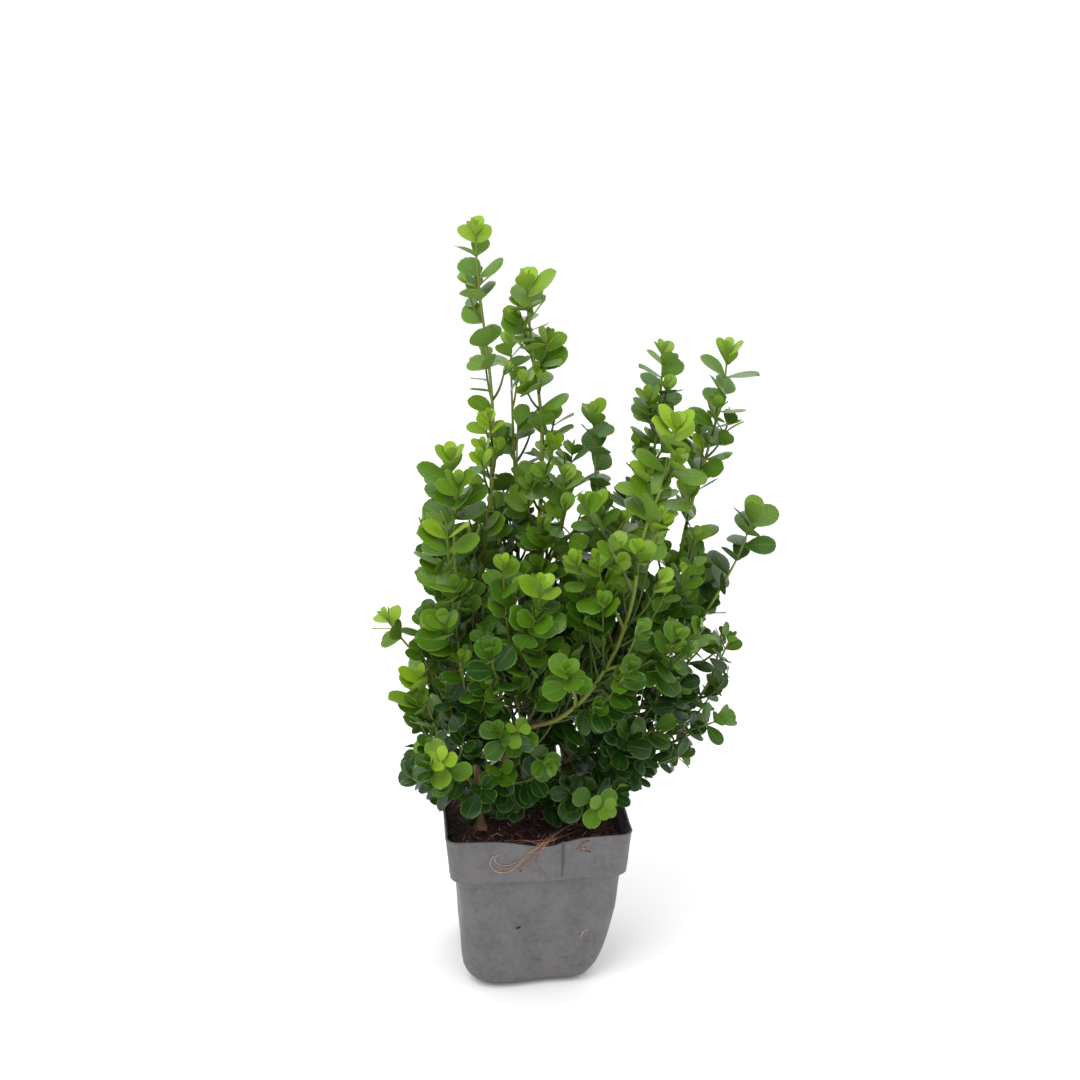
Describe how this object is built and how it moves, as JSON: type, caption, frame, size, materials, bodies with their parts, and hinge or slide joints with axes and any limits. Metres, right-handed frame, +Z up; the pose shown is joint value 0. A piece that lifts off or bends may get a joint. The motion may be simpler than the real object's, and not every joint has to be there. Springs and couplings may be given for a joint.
{
  "type": "potted boxwood shrub",
  "caption": "Young boxwood shrub with small glossy leaves, standing in a soft square nursery pot with a stepped band under its rim.",
  "frame": {"origin": "middle of the pot's flat underside, at the height of the surface it stands on", "axes": "+Z up through the plant, +X to the right and -Y towards the viewer as the picture shows it, square to the pot's sides"},
  "size_m": [0.2375, 0.2038, 0.467],
  "materials": {
    "pot": "matte grey, faintly scuffed",
    "soil": "rough moist potting mix",
    "bark": "fine matte bark",
    "green_wood": "smooth young bark",
    "leaves_light": "satin, young leaves",
    "leaves_mid": "satin leaves",
    "leaves_dark": "glossy mature leaves"
  },
  "bodies": {
    "root": {"pot": "pot", "soil": "soil", "stem_left": "bark", "stem_middle": "bark", "stem_right": "bark", "stem_back": "bark", "bough_left_tall": "green_wood", "bough_left_front": "green_wood", "bough_left_low": "green_wood", "bough_middle_tall": "green_wood", "bough_front": "green_wood", "bough_arch_foot": "green_wood", "bough_arch": "green_wood", "bough_right_tall": "green_wood", "bough_right_high": "green_wood", "bough_right_far": "green_wood", "bough_right_low": "green_wood", "bough_back_tall": "green_wood", "bough_back_left": "green_wood", "bough_back_right": "green_wood", "foliage_left_tall": "leaves_mid", "foliage_left_inner": "leaves_dark", "foliage_left_light": "leaves_light", "foliage_left_mid": "leaves_light", "foliage_left_under": "leaves_mid", "foliage_left_twig": "leaves_light", "foliage_left_bright": "leaves_light", "foliage_left_rosette": "leaves_light", "foliage_left_dark": "leaves_dark", "foliage_middle_tall": "leaves_mid", "foliage_middle_side": "leaves_mid", "foliage_front_left": "leaves_light", "foliage_front": "leaves_light", "foliage_front_rosette": "leaves_mid", "foliage_front_pair": "leaves_light", "foliage_front_low": "leaves_mid", "foliage_front_foot": "leaves_dark", "foliage_arch_tip": "leaves_light", "foliage_arch_left": "leaves_mid", "foliage_arch_right": "leaves_mid", "foliage_arch_back": "leaves_mid", "foliage_right_tall": "leaves_mid", "foliage_right_small": "leaves_mid", "foliage_right_high": "leaves_mid", "foliage_right_inner": "leaves_mid", "foliage_right_far": "leaves_dark", "foliage_right_edge": "leaves_dark", "foliage_right_side": "leaves_mid", "foliage_right_low": "leaves_dark", "foliage_right_hanging": "leaves_dark", "foliage_right_foot": "leaves_light", "foliage_right_front": "leaves_dark", "foliage_back_tall": "leaves_mid", "foliage_back_inner": "leaves_mid", "foliage_back_left": "leaves_mid", "foliage_back_edge": "leaves_mid", "foliage_back_right": "leaves_mid", "foliage_back_side": "leaves_dark", "foliage_back_low": "leaves_mid", "foliage_back_foot": "leaves_dark"}
  },
  "joints": []
}
